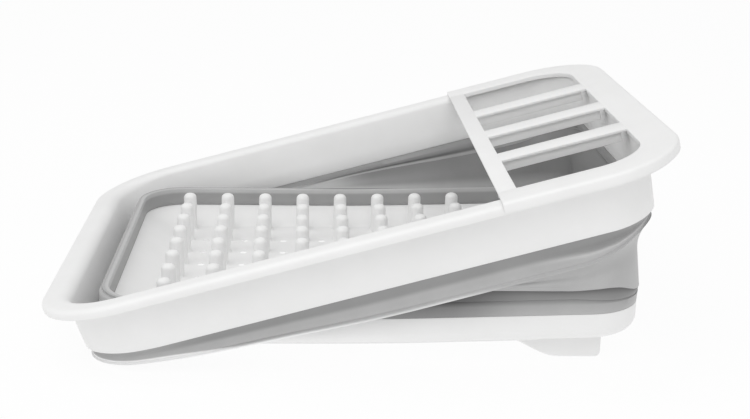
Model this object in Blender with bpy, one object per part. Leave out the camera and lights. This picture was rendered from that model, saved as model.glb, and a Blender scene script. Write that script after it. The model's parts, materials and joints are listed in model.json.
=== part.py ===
"""Collapsible dish drying rack, standing half folded.

A white tray with pegs stands on four feet. A grey folding wall joins it to a white frame,
whose left end is folded down over the tray while its right end stands up. A lift-off
cutlery rest with four slots covers the right end of the frame.

Lengths are metres, +Z is up, +X runs to the raised end and the front is at -Y.
"""
import math

import bmesh
import bpy
from mathutils import Matrix, Vector

MM = 0.001
DEGREE = math.pi / 180

# Fits between pieces
GAP = 0.3 * MM

# Tray
TRAY_LENGTH = 311 * MM
TRAY_WIDTH = 244 * MM
TRAY_CORNER_RADIUS = 31 * MM
TRAY_WALL = 2.2 * MM
TRAY_TOP = 28.7 * MM
FLOOR_TOP = 16.6 * MM
FLOOR_THICKNESS = 3.2 * MM
FLOOR_INSET = 18 * MM
INNER_LEAN = 0.8 * MM
FLOOR_ROUND_SHARE = 0.8
DRIP_BEAD_DROP = 1.2 * MM
DRIP_BEAD_WIDTH = 2.6 * MM
OUTER_ROUND = 8 * MM

# Pegs and drain holes
PEG_COLUMNS = 8
PEG_ROWS = 8
PEG_PITCH = 26.5 * MM
PEG_END_MARGIN = 34.75 * MM
PEG_SIDE_MARGIN = 29.25 * MM
PEG_HEIGHT = 26.2 * MM
PEG_FOOT_RADIUS = 4.9 * MM
PEG_TOP_RADIUS = 4.2 * MM
PEG_STEPS = 8
PEG_STRIP_WIDTH = 11 * MM
PEG_STRIP_THICKNESS = 1.2 * MM
HOLE_COLUMNS = 9
HOLE_RADIUS = 2.3 * MM
HOLE_STEPS = 8

# Feet under the tray
FOOT_END_INSET = 20.5 * MM
FOOT_SIDE_INSET = 16 * MM
FOOT_FLAT_LENGTH = 27 * MM
FOOT_SWEEP = 31 * MM
FOOT_DEPTH = 19 * MM
FOOT_TAPER = 1.6 * MM
FOOT_CORNER_RADIUS = 2.4 * MM
SWEEP_STEPS = 7

# Frame with its flange
FRAME_END_REACH = 29.5 * MM
FRAME_SET_BACK = 1.5 * MM
FRAME_SIDE_REACH = 29.5 * MM
FRAME_CORNER_GROWTH = 19 * MM
FLANGE_WIDTH = 15.5 * MM
FLANGE_THICKNESS = 1.9 * MM
FLANGE_EDGE_RADIUS = 2.2 * MM
FLANGE_LIP_DROP = 5 * MM
FRAME_WALL = 2.3 * MM
WALL_DEPTH = 34.5 * MM
WALL_LEAN = 2.6 * MM
LAP_HEIGHT = 3 * MM
LAP_DEPTH = 1.1 * MM

# Folding wall: lower band on the tray, middle band, upper band on the frame
LOWER_BAND_HEIGHT = 10.6 * MM
LOWER_BAND_THICKNESS = 2.2 * MM
CREST_OUTSET = 0.6 * MM
MIDDLE_BAND_THICKNESS = 1.5 * MM
UPPER_BAND_THICKNESS = 2 * MM
UPPER_BAND_LEAN = 4 * MM
UPPER_BAND_HEIGHT = 16.7 * MM
PRESSED_BAND_HEIGHT = 3 * MM
PRESSED_LENGTH = 190 * MM
FOLD_TABLE_GAP = 3.4 * MM
FOLD_TUCK_SHARE = 0.9
DRAWN_BAND_HEIGHT = 5 * MM
DRAWN_FOLD_INSET = 31 * MM
DRAWN_FOLD_DEPTH = 52.5 * MM

# How the frame stands: its right end is up
TILT = 15.44 * DEGREE

# Cutlery rest
REST_LENGTH = 106.1 * MM
REST_THICKNESS = 1.5 * MM
REST_EDGE_RADIUS = 1.4 * MM
REST_LIP_THICKNESS = 1.2 * MM
REST_LIP_DROP = 4.2 * MM
REST_FIN_SET = 4.5 * MM
REST_FIN_DROP = 1.2 * MM
CROSSBAR_WIDTH = 10.6 * MM
SLOT_BARS = 3
INNER_SLOT_WIDTH = 43.9 * MM
BAR_WIDTH = 17.6 * MM
BAR_THICKNESS = 1.8 * MM
BAR_RIB_WIDTH = 13.6 * MM
BAR_RIB_DROP = 6 * MM
BAR_RIB_SETBACK = 3 * MM
BAR_RIB_ROUND = 8 * MM
BAR_RIB_STEP = 0.4 * MM

# How finely the outlines are divided
CORNER_STEPS = 8
WALL_SIDE_STEPS = 8
WALL_END_STEPS = 3
ROUND_STEPS = 4
EDGE_STEPS = 3
CUT_OVERRUN = 2 * MM
SMOOTH_ANGLE = 32 * DEGREE

# Sizes that follow from those above
UNDERSIDE = FLOOR_TOP - FLOOR_THICKNESS
CREST_HEIGHT = TRAY_TOP + LOWER_BAND_HEIGHT
FRAME_LENGTH = TRAY_LENGTH + 2 * FRAME_END_REACH
FRAME_WIDTH = TRAY_WIDTH + 2 * FRAME_SIDE_REACH
FRAME_CORNER_RADIUS = TRAY_CORNER_RADIUS + FRAME_CORNER_GROWTH
WALL_FOOT_INSET = FLANGE_WIDTH - FRAME_WALL + WALL_LEAN
FOLD_INSET = WALL_FOOT_INSET + UPPER_BAND_LEAN
REST_TOP = GAP + REST_THICKNESS
REST_LEFT_X = FRAME_LENGTH / 2 - REST_LENGTH
REST_MARGIN = FLANGE_WIDTH + REST_FIN_SET
LEFT_FOLD_DEPTH = WALL_DEPTH + PRESSED_BAND_HEIGHT
FRAME_CENTRE_X = -WALL_DEPTH * math.sin(TILT) - FRAME_SET_BACK
FRAME_CENTRE_Z = (
    FOLD_TABLE_GAP
    + LEFT_FOLD_DEPTH * math.cos(TILT)
    + (FRAME_LENGTH / 2 - FOLD_INSET) * math.sin(TILT)
)

WHITE = (0.86, 0.86, 0.85, 1)
GREY = (0.3, 0.3, 0.3, 1)


def clear_scene():
    for old in list(bpy.data.objects):
        bpy.data.objects.remove(old, do_unlink=True)


def plastic(name, colour, roughness):
    """A moulded plastic of one colour."""
    material = bpy.data.materials.new(name)
    material.use_nodes = True
    shader = material.node_tree.nodes["Principled BSDF"]
    shader.inputs["Base Color"].default_value = colour
    shader.inputs["Roughness"].default_value = roughness
    shader.inputs["Metallic"].default_value = 0
    return material


def white_plastic(name):
    return plastic(name + "_white", WHITE, 0.42)


def grey_elastomer(name):
    return plastic(name + "_grey", GREY, 0.6)


def empty(name, parent, location, turn=0):
    """An axis or carrier that pieces are parented to; turn is about Y."""
    carrier = bpy.data.objects.new(name, None)
    bpy.context.collection.objects.link(carrier)
    carrier.parent = parent
    carrier.location = location
    carrier.rotation_euler = (0, turn, 0)
    return carrier


def add_object(name, mesh, parent, material, location=(0, 0, 0)):
    piece = bpy.data.objects.new(name, mesh)
    bpy.context.collection.objects.link(piece)
    piece.parent = parent
    piece.location = location
    if material is not None and not mesh.materials:
        mesh.materials.append(material)
    return piece


def finish_mesh(name, bm):
    """Turn the faces outwards and shade the round stretches smooth."""
    bmesh.ops.recalc_face_normals(bm, faces=bm.faces)
    mesh = bpy.data.meshes.new(name)
    bm.to_mesh(mesh)
    bm.free()
    mesh.shade_smooth()
    mesh.set_sharp_from_angle(angle=SMOOTH_ANGLE)
    return mesh


def stretch(start, end, steps):
    """Points between two ends of a straight run, without the ends."""
    return [start.lerp(end, k / steps) for k in range(1, steps)]


def outline(half_x, half_y, radius, side_steps=1, end_steps=1):
    """A rounded rectangle about the origin, anticlockwise from its right end."""
    corners = (
        (half_x - radius, half_y - radius, 0),
        (radius - half_x, half_y - radius, 90),
        (radius - half_x, radius - half_y, 180),
        (half_x - radius, radius - half_y, 270),
    )
    steps = (side_steps, end_steps, side_steps, end_steps)
    arcs = []
    for centre_x, centre_y, first in corners:
        arc = []
        for k in range(CORNER_STEPS + 1):
            angle = (first + 90 * k / CORNER_STEPS) * DEGREE
            arc.append(Vector((centre_x + radius * math.cos(angle), centre_y + radius * math.sin(angle))))
        arcs.append(arc)
    points = []
    for index, arc in enumerate(arcs):
        points += arc
        points += stretch(arc[-1], arcs[(index + 1) % 4][0], steps[index])
    return points


def tray_outline(inset, **steps):
    """The tray's outline drawn in by inset, or let out where inset is negative."""
    return outline(TRAY_LENGTH / 2 - inset, TRAY_WIDTH / 2 - inset, TRAY_CORNER_RADIUS - inset, **steps)


def frame_outline(inset, **steps):
    """The frame's outline drawn in by inset, in the frame's own plane."""
    return outline(FRAME_LENGTH / 2 - inset, FRAME_WIDTH / 2 - inset, FRAME_CORNER_RADIUS - inset, **steps)


def quarter(centre, radii, first, steps):
    """A quarter of an ellipse in a profile, from the angle first, turning clockwise."""
    points = []
    for k in range(steps + 1):
        angle = (first - 90 * k / steps) * DEGREE
        points.append((centre[0] + radii[0] * math.cos(angle), centre[1] + radii[1] * math.sin(angle)))
    return points


def flat_loop(points, height):
    return [Vector((point.x, point.y, height)) for point in points]


def skin_loops(bm, loops, closed, caps):
    """Join loops of equal count; closed joins the last to the first, caps fill the ends."""
    rings = [[bm.verts.new(point) for point in loop] for loop in loops]
    count = len(rings[0])
    pairs = list(zip(rings, rings[1:]))
    if closed:
        pairs.append((rings[-1], rings[0]))
    for low, high in pairs:
        for k in range(count):
            following = (k + 1) % count
            bm.faces.new((low[k], low[following], high[following], high[k]))
    if caps:
        bm.faces.new(rings[0])
        bm.faces.new(rings[-1])


def ring_mesh(name, loops):
    bm = bmesh.new()
    skin_loops(bm, loops, closed=True, caps=False)
    return finish_mesh(name, bm)


def boolean(target, tool, operation):
    """Cut, join or trim the target with a hidden tool object."""
    modifier = target.modifiers.new(operation.lower() + "_" + tool.name, "BOOLEAN")
    modifier.operation = operation
    modifier.solver = "EXACT"
    modifier.object = tool
    tool.hide_render = True
    tool.display_type = "WIRE"


def add_box(bm, low, high):
    cube = bmesh.ops.create_cube(bm, size=1)["verts"]
    bmesh.ops.scale(bm, vec=Vector(high) - Vector(low), verts=cube)
    bmesh.ops.translate(bm, vec=(Vector(high) + Vector(low)) / 2, verts=cube)


def box_mesh(name, low, high):
    bm = bmesh.new()
    add_box(bm, low, high)
    return finish_mesh(name, bm)


# Tray

def tray_profile():
    """Inset from the outline and height, from under the floor, round the rim, to the floor."""
    bead_bottom = UNDERSIDE - DRIP_BEAD_DROP
    bead_inset = OUTER_ROUND + DRIP_BEAD_WIDTH
    floor_round = (FLOOR_INSET - TRAY_WALL - INNER_LEAN, (TRAY_TOP - FLOOR_TOP) * FLOOR_ROUND_SHARE)
    profile = [
        (bead_inset + DRIP_BEAD_DROP, UNDERSIDE),
        (bead_inset, bead_bottom),
    ]
    round_centre = (OUTER_ROUND, bead_bottom + OUTER_ROUND)
    profile += quarter(round_centre, (OUTER_ROUND, OUTER_ROUND), 270, ROUND_STEPS)
    profile += [(0, TRAY_TOP), (TRAY_WALL, TRAY_TOP)]
    for k in range(ROUND_STEPS + 1):
        angle = 90 * k / ROUND_STEPS * DEGREE
        across = FLOOR_INSET - floor_round[0] * math.cos(angle)
        height = FLOOR_TOP + floor_round[1] * (1 - math.sin(angle))
        profile.append((across, height))
    return profile


def column_x(column):
    """Place of a peg column, counted from the folded end; the cutlery's end of the floor has none."""
    return PEG_END_MARGIN - TRAY_LENGTH / 2 + column * PEG_PITCH


def row_y(row):
    pitch = (TRAY_WIDTH - 2 * PEG_SIDE_MARGIN) / (PEG_ROWS - 1)
    return (row - (PEG_ROWS - 1) / 2) * pitch


def cut_drain_holes(tray):
    """Holes between the peg columns and on under the cutlery, in line with the inner rows of pegs."""
    bm = bmesh.new()
    depth = FLOOR_THICKNESS + 2 * CUT_OVERRUN
    for column in range(HOLE_COLUMNS):
        for row in range(1, PEG_ROWS - 1):
            x = (column_x(column) + column_x(column + 1)) / 2
            place = Matrix.Translation((x, row_y(row), FLOOR_TOP - FLOOR_THICKNESS / 2))
            bmesh.ops.create_cone(
                bm, cap_ends=True, segments=HOLE_STEPS,
                radius1=HOLE_RADIUS, radius2=HOLE_RADIUS, depth=depth, matrix=place,
            )
    cutter = add_object("drain_hole_cutter", finish_mesh("drain_hole_cutter", bm), tray.parent, None)
    boolean(tray, cutter, "DIFFERENCE")


def cut_peg_channels(tray):
    """Shallow channels in the floor that the peg strips lie in, flush with the floor."""
    bm = bmesh.new()
    half_x = PEG_STRIP_WIDTH / 2 + GAP
    half_y = row_y(PEG_ROWS - 1) + half_x
    bottom = FLOOR_TOP - PEG_STRIP_THICKNESS - GAP
    for column in range(PEG_COLUMNS):
        x = column_x(column)
        add_box(bm, (x - half_x, -half_y, bottom), (x + half_x, half_y, FLOOR_TOP + CUT_OVERRUN))
    cutter = add_object("peg_channel_cutter", finish_mesh("peg_channel_cutter", bm), tray.parent, None)
    boolean(tray, cutter, "DIFFERENCE")


def make_tray(rack):
    bm = bmesh.new()
    loops = [flat_loop(tray_outline(inset), height) for inset, height in tray_profile()]
    skin_loops(bm, loops, closed=False, caps=True)
    tray = add_object("base_tray", finish_mesh("base_tray", bm), rack, white_plastic("base_tray"))
    cut_drain_holes(tray)
    cut_peg_channels(tray)
    return tray


# Pegs

def peg_profile():
    """Radius and height above the floor of a peg with a round top, from inside its strip."""
    profile = [(PEG_FOOT_RADIUS, -PEG_STRIP_THICKNESS / 2), (PEG_FOOT_RADIUS, 0)]
    for k in range(EDGE_STEPS):
        angle = 90 * k / EDGE_STEPS * DEGREE
        shoulder = PEG_HEIGHT - PEG_TOP_RADIUS
        profile.append((PEG_TOP_RADIUS * math.cos(angle), shoulder + PEG_TOP_RADIUS * math.sin(angle)))
    return profile


def add_peg(bm, y):
    rings = []
    for radius, height in peg_profile():
        ring = []
        for k in range(PEG_STEPS):
            angle = 360 * (k + 0.5) / PEG_STEPS * DEGREE
            ring.append(bm.verts.new((radius * math.cos(angle), y + radius * math.sin(angle), height)))
        rings.append(ring)
    tip = bm.verts.new((0, y, PEG_HEIGHT))
    bm.faces.new(rings[0])
    for k in range(PEG_STEPS):
        following = (k + 1) % PEG_STEPS
        for low, high in zip(rings, rings[1:]):
            bm.faces.new((low[k], low[following], high[following], high[k]))
        bm.faces.new((rings[-1][k], rings[-1][following], tip))


def make_pegs(rack):
    """A strip of pegs for each column, front to back, let into the floor."""
    bm = bmesh.new()
    for row in range(PEG_ROWS):
        add_peg(bm, row_y(row))
    pegs = finish_mesh("pegs", bm)
    half_x = PEG_STRIP_WIDTH / 2
    half_y = row_y(PEG_ROWS - 1) + half_x
    strip = box_mesh("peg_strip", (-half_x, -half_y, -PEG_STRIP_THICKNESS), (half_x, half_y, 0))
    material = white_plastic("peg_column")
    for column in range(PEG_COLUMNS):
        place = (column_x(column), 0, FLOOR_TOP)
        name = f"peg_column_{column + 1:02d}"
        piece = add_object(name, strip, rack, material, place)
        boolean(piece, add_object(name + "_pegs_guide", pegs, rack, None, place), "UNION")


# Feet

def foot_side_view():
    """Points of a right-hand foot seen from the front: flat sole and a sweep to the tray."""
    top = UNDERSIDE - GAP
    outer = TRAY_LENGTH / 2 - FOOT_END_INSET
    sole_start = outer - FOOT_FLAT_LENGTH
    radius = FOOT_CORNER_RADIUS
    points = [(outer, top)]
    points += quarter((outer - radius, radius), (radius, radius), 0, EDGE_STEPS)
    for k in range(SWEEP_STEPS):
        share = k / SWEEP_STEPS
        rise = (1 - math.cos(share * math.pi)) / 2
        points.append((sole_start - FOOT_SWEEP * share, top * rise))
    points.append((sole_start - FOOT_SWEEP, top))
    return points


def make_foot(rack, name, side_x, side_y):
    """A foot that tapers a little in depth towards its sole."""
    top = UNDERSIDE - GAP
    outer = TRAY_WIDTH / 2 - FOOT_SIDE_INSET
    loops = []
    for face_y, taper in ((outer, -FOOT_TAPER), (outer - FOOT_DEPTH, FOOT_TAPER)):
        loop = []
        for x, z in foot_side_view():
            y = face_y + taper * (1 - z / top)
            loop.append(Vector((side_x * x, side_y * y, z)))
        loops.append(loop)
    bm = bmesh.new()
    skin_loops(bm, loops, closed=False, caps=True)
    return add_object(name, finish_mesh(name, bm), rack, white_plastic(name))


def make_feet(rack):
    places = (("front_left", -1, -1), ("front_right", 1, -1), ("back_left", -1, 1), ("back_right", 1, 1))
    return [make_foot(rack, "foot_" + name, side_x, side_y) for name, side_x, side_y in places]


# Frame

def frame_profile():
    """Inset and height of the flange and wall, from the lip's outer edge, over the top."""
    edge = FLANGE_EDGE_RADIUS
    lap_top = WALL_DEPTH - LAP_HEIGHT
    wall_inner = WALL_FOOT_INSET + FRAME_WALL
    inner_at_lap = FLANGE_WIDTH + WALL_LEAN * lap_top / WALL_DEPTH
    profile = [(0, -FLANGE_LIP_DROP)]
    profile += quarter((edge, -edge), (edge, edge), 180, EDGE_STEPS)
    profile += quarter((FLANGE_WIDTH - edge, -edge), (edge, edge), 90, EDGE_STEPS)
    profile += [
        (inner_at_lap, -lap_top),
        (inner_at_lap - LAP_DEPTH, -lap_top),
        (wall_inner - LAP_DEPTH, -WALL_DEPTH),
        (WALL_FOOT_INSET, -WALL_DEPTH),
        (FLANGE_WIDTH - FRAME_WALL, -FLANGE_THICKNESS),
        (FLANGE_THICKNESS, -FLANGE_THICKNESS),
        (FLANGE_THICKNESS, -FLANGE_LIP_DROP),
    ]
    return profile


def make_frame(plane):
    loops = [flat_loop(frame_outline(inset), height) for inset, height in frame_profile()]
    return add_object("upper_frame", ring_mesh("upper_frame", loops), plane, white_plastic("upper_frame"))


# Folding wall

def wall_steps():
    return {"side_steps": WALL_SIDE_STEPS, "end_steps": WALL_END_STEPS}


def drawn_share(x):
    """How far the wall is drawn in: none along the sides, all of it at the raised end."""
    start = FRAME_LENGTH / 2 - FRAME_CORNER_RADIUS
    along = (x - start) / (FRAME_CORNER_RADIUS - FOLD_INSET)
    share = min(max(along, 0), 1)
    return share * share * (3 - 2 * share)


def fold_depth(x):
    """Depth of the upper band's fold under the flange: short at the folded and the drawn-in ends."""
    along = (x + FRAME_LENGTH / 2 - FOLD_INSET) / PRESSED_LENGTH
    share = min(max(along, 0), 1)
    eased = 1 - (1 - share) ** 2
    pressed = LEFT_FOLD_DEPTH + (UPPER_BAND_HEIGHT - PRESSED_BAND_HEIGHT) * eased
    return pressed - (UPPER_BAND_HEIGHT - DRAWN_BAND_HEIGHT) * drawn_share(x)


def band_loop(inset_top, inset_fold, share):
    """A loop of the upper band at a share of the way from the frame's wall to the fold."""
    inset = inset_top + (inset_fold - inset_top) * share
    top = WALL_DEPTH + GAP
    points = frame_outline(inset, **wall_steps())
    return [Vector((p.x, p.y, -(top + (fold_depth(p.x) - top) * share))) for p in points]


def make_upper_band(plane):
    """The band under the frame's wall, with a lap up the inner side of that wall."""
    inner_top = WALL_FOOT_INSET + FRAME_WALL
    lap_top = WALL_DEPTH - LAP_HEIGHT + GAP
    lap_inner = FLANGE_WIDTH + WALL_LEAN * lap_top / WALL_DEPTH
    fold_inner = FOLD_INSET + UPPER_BAND_THICKNESS
    fold_middle = FOLD_INSET + UPPER_BAND_THICKNESS / 2
    lap_groove = inner_top - LAP_DEPTH + GAP
    steps = wall_steps()
    loops = [
        band_loop(WALL_FOOT_INSET, FOLD_INSET, 0),
        flat_loop(frame_outline(lap_groove, **steps), -(WALL_DEPTH + GAP)),
        flat_loop(frame_outline(lap_inner - LAP_DEPTH + GAP, **steps), -lap_top),
        flat_loop(frame_outline(lap_inner, **steps), -lap_top),
        band_loop(inner_top, fold_inner, 0),
        band_loop(inner_top, fold_inner, FOLD_TUCK_SHARE),
        band_loop(fold_middle, fold_middle, 1),
        band_loop(WALL_FOOT_INSET, FOLD_INSET, FOLD_TUCK_SHARE),
    ]
    mesh = ring_mesh("wall_upper_band", loops)
    return add_object("wall_upper_band", mesh, plane, grey_elastomer("wall_upper_band"))


def make_lower_band(rack):
    """The band that stands on the tray's rim and ends in a rounded crest."""
    half = LOWER_BAND_THICKNESS / 2
    middle = half - CREST_OUTSET
    profile = [(0, TRAY_TOP + GAP)]
    profile += quarter((middle, CREST_HEIGHT - half), (half, half), 180, ROUND_STEPS)[:-1]
    profile += quarter((middle, CREST_HEIGHT - half), (half, half), 90, ROUND_STEPS)
    profile.append((TRAY_WALL, TRAY_TOP + GAP))
    loops = [flat_loop(tray_outline(inset), height) for inset, height in profile]
    mesh = ring_mesh("wall_lower_band", loops)
    return add_object("wall_lower_band", mesh, rack, grey_elastomer("wall_lower_band"))


def frame_to_rack(point):
    """A point given in the frame's own plane, in the rack's upright axes."""
    turned = Matrix.Rotation(-TILT, 4, "Y") @ point
    return turned + Vector((FRAME_CENTRE_X, 0, FRAME_CENTRE_Z))


def middle_band_lines():
    """Loops of the middle band, from the tray's crest to the frame's fold, drawn in at the raised end."""
    half = MIDDLE_BAND_THICKNESS / 2
    crest_outset = CREST_OUTSET + GAP + half
    crest = flat_loop(tray_outline(-crest_outset, **wall_steps()), CREST_HEIGHT - half)
    fold_inset = FOLD_INSET + UPPER_BAND_THICKNESS + GAP + half
    fold = []
    drawn = []
    for point in frame_outline(fold_inset, **wall_steps()):
        depth = fold_depth(point.x) - half
        fold.append(frame_to_rack(Vector((point.x, point.y, -depth))))
        drawn.append(drawn_share(point.x))
    drawn_line = flat_loop(frame_outline(DRAWN_FOLD_INSET, **wall_steps()), -DRAWN_FOLD_DEPTH)
    lines = [crest]
    for row in range(1, EDGE_STEPS):
        line = []
        for k, (low, high) in enumerate(zip(crest, fold)):
            straight = low.lerp(high, row / EDGE_STEPS)
            bent = low.lerp(frame_to_rack(drawn_line[k]), row / (EDGE_STEPS - 1))
            line.append(straight.lerp(bent, drawn[k]))
        lines.append(line)
    return lines + [fold]


def make_middle_band(carrier, origin):
    """A strip from the crest to the fold: down at the folded end, up at the raised end."""
    lines = middle_band_lines()
    count = len(lines[0])
    last = len(lines) - 1
    half = MIDDLE_BAND_THICKNESS / 2
    faces_in = []
    faces_out = []
    for row, line in enumerate(lines):
        outer = []
        inner = []
        for k, point in enumerate(line):
            run = line[(k + 1) % count] - line[k - 1]
            across = lines[min(row + 1, last)][k] - lines[max(row - 1, 0)][k]
            normal = run.cross(across).normalized()
            outer.append(point - origin + normal * half)
            inner.append(point - origin - normal * half)
        faces_out.append(outer)
        faces_in.append(inner)
    mesh = ring_mesh("wall_middle_band", faces_out + faces_in[::-1])
    return add_object("wall_middle_band", mesh, carrier, grey_elastomer("wall_middle_band"))


# Cutlery rest

def rest_profile():
    """Inset and height of the rest's rim, from its outer lip, over the flange, to its fin."""
    lip_outer = -(GAP + REST_LIP_THICKNESS)
    edge = REST_EDGE_RADIUS
    fin_outer = REST_MARGIN - REST_THICKNESS
    profile = [(lip_outer, -REST_LIP_DROP)]
    profile += quarter((lip_outer + edge, REST_TOP - edge), (edge, edge), 180, EDGE_STEPS)
    profile += [
        (REST_MARGIN, REST_TOP),
        (REST_MARGIN, -REST_FIN_DROP),
        (fin_outer, -REST_FIN_DROP),
        (fin_outer, GAP),
        (-GAP, GAP),
        (-GAP, -REST_LIP_DROP),
    ]
    return profile


def make_rest_rim(plane):
    """The rim follows three sides of the frame and a crossbar joins its arms."""
    loops = [flat_loop(frame_outline(inset), height) for inset, height in rest_profile()]
    name = "cutlery_rest_rim"
    rim = add_object(name, ring_mesh(name, loops), plane, white_plastic(name))
    reach_x = FRAME_LENGTH / 2 + REST_MARGIN
    reach_y = FRAME_WIDTH / 2 + REST_MARGIN
    keep = box_mesh("rim_keep", (REST_LEFT_X, -reach_y, -reach_y), (reach_x, reach_y, reach_y))
    boolean(rim, add_object("rim_keep_cutter", keep, plane, None), "INTERSECT")
    arm_middle = FRAME_WIDTH / 2 - REST_MARGIN / 2
    crossbar = box_mesh(
        "crossbar",
        (REST_LEFT_X, -arm_middle, GAP),
        (REST_LEFT_X + CROSSBAR_WIDTH, arm_middle, REST_TOP),
    )
    boolean(rim, add_object("crossbar_guide", crossbar, plane, None), "UNION")
    return rim


def bar_section(x, rib_drop):
    """The T-shaped section of a bar at one place along it."""
    under = REST_TOP - BAR_THICKNESS
    half_top = BAR_WIDTH / 2
    half_rib = BAR_RIB_WIDTH / 2
    section = (
        (half_top, REST_TOP),
        (-half_top, REST_TOP),
        (-half_top, under),
        (-half_rib, under),
        (-half_rib, under - rib_drop),
        (half_rib, under - rib_drop),
        (half_rib, under),
        (half_top, under),
    )
    return [Vector((x, y, z)) for y, z in section]


def bar_mesh():
    """A bar from the crossbar to the rim, whose rib rounds off before the rim."""
    start = REST_LEFT_X + CROSSBAR_WIDTH + GAP
    end = FRAME_LENGTH / 2 - REST_MARGIN - GAP
    rib_end = end - BAR_RIB_SETBACK
    loops = [bar_section(start, BAR_RIB_DROP)]
    for k in range(ROUND_STEPS):
        angle = 90 * k / ROUND_STEPS * DEGREE
        x = rib_end - BAR_RIB_ROUND * (1 - math.sin(angle))
        loops.append(bar_section(x, BAR_RIB_DROP * math.cos(angle)))
    loops.append(bar_section(rib_end, BAR_RIB_STEP))
    loops.append(bar_section(end, BAR_RIB_STEP))
    bm = bmesh.new()
    skin_loops(bm, loops, closed=False, caps=True)
    return finish_mesh("cutlery_rest_bar", bm)


def make_rest_bars(plane):
    mesh = bar_mesh()
    material = white_plastic("cutlery_rest_bar")
    bars = []
    for index in range(SLOT_BARS):
        y = (index - (SLOT_BARS - 1) / 2) * (INNER_SLOT_WIDTH + BAR_WIDTH)
        bars.append(add_object(f"cutlery_rest_bar_{index + 1}", mesh, plane, material, (0, y, 0)))
    return bars


# Assembly

def centre_on_bounds(rack):
    """Move the whole rack so that its bounding box is centred on the origin in X and Y."""
    pieces = [piece for piece in bpy.data.objects if piece.type == "MESH" and not piece.hide_render]
    graph = bpy.context.evaluated_depsgraph_get()
    points = []
    for piece in pieces:
        shaped = piece.evaluated_get(graph)
        points += [shaped.matrix_world @ vertex.co for vertex in shaped.data.vertices]
    middle_x = (min(p.x for p in points) + max(p.x for p in points)) / 2
    middle_y = (min(p.y for p in points) + max(p.y for p in points)) / 2
    rack.location = (-middle_x, -middle_y, 0)


def build():
    clear_scene()
    rack = empty("rack", None, (0, 0, 0))
    make_tray(rack)
    make_pegs(rack)
    make_feet(rack)
    make_lower_band(rack)
    fold_edge = middle_band_lines()[-1]
    left = min(fold_edge, key=lambda point: point.x)
    right = max(fold_edge, key=lambda point: point.x)
    left_axis = Vector((left.x, 0, left.z))
    right_axis = Vector((right.x, 0, right.z))
    left_fold = empty("left_fold_axis", rack, left_axis)
    make_middle_band(left_fold, left_axis)
    right_fold = empty("right_fold_axis", left_fold, right_axis - left_axis)
    frame_centre = Vector((FRAME_CENTRE_X, 0, FRAME_CENTRE_Z))
    plane = empty("frame_plane", right_fold, frame_centre - right_axis, -TILT)
    make_frame(plane)
    make_upper_band(plane)
    rest = empty("rest_lift_axis", plane, (0, 0, 0))
    make_rest_rim(rest)
    make_rest_bars(rest)
    centre_on_bounds(rack)


build()
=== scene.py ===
import json
import math

import bmesh
import bpy
import numpy as np
from mathutils import Matrix, Vector


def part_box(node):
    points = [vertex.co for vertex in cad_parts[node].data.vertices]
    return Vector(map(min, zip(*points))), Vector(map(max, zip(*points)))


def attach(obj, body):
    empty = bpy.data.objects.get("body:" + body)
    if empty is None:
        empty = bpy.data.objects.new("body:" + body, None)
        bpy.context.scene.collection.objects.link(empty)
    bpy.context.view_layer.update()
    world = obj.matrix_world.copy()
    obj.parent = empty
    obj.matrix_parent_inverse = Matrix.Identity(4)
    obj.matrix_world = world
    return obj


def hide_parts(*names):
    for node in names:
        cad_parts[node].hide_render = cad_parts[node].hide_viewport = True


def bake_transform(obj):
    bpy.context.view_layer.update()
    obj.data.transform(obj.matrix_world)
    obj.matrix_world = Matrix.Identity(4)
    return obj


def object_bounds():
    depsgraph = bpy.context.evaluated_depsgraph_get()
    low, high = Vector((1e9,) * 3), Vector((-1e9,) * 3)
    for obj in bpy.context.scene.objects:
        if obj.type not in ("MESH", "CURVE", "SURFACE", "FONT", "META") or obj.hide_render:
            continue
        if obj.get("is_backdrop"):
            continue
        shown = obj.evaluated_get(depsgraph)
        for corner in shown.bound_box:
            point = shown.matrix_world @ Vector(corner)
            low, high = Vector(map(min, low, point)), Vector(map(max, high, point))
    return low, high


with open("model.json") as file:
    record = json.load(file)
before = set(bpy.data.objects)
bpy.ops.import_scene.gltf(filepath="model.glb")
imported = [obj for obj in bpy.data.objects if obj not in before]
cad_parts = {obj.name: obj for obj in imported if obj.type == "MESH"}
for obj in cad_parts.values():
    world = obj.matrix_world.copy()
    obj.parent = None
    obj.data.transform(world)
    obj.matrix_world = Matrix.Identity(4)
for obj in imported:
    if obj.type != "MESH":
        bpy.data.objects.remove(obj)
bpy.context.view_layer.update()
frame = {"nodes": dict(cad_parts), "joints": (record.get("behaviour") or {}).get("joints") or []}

# The base tray is one injection moulding in white polypropylene. A soft fillet runs from its flat floor,
# with six rows of drain holes, up to a plain rim. Its outer edge is well rounded, a drip bead goes round
# the underside, deeper between the feet, and the right end is bent up a little by the standing wall.
mm = 0.001
tray_low, tray_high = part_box("base_tray")
tray_middle = (tray_low + tray_high) / 2
tray_half_x = (tray_high.x - tray_low.x) / 2
tray_half_y = (tray_high.y - tray_low.y) / 2
tray_top = tray_high.z
tray_corner = 31 * mm
tray_wall = 2.2 * mm
tray_foot_level = 12.1 * mm
tray_outer_round = 8 * mm
rim_round = 0.5 * mm
floor_top = 16.6 * mm
floor_underside = 13.4 * mm
floor_inset = 24 * mm
slope_inset = 3.7 * mm
slope_top = 27.2 * mm
bead_inset = 9.7 * mm
bead_round = 1.3 * mm
bead_deeper = 1.9 * mm
bead_deep_reach = 100 * mm
bead_plain_reach = 116 * mm
tray_sharp_degrees = 35
corner_steps = 24
side_steps = 96
end_steps = 60

bend_slope = 0.03
bend_start = -32 * mm
bend_end = 48 * mm
bend_strips = 12

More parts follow.
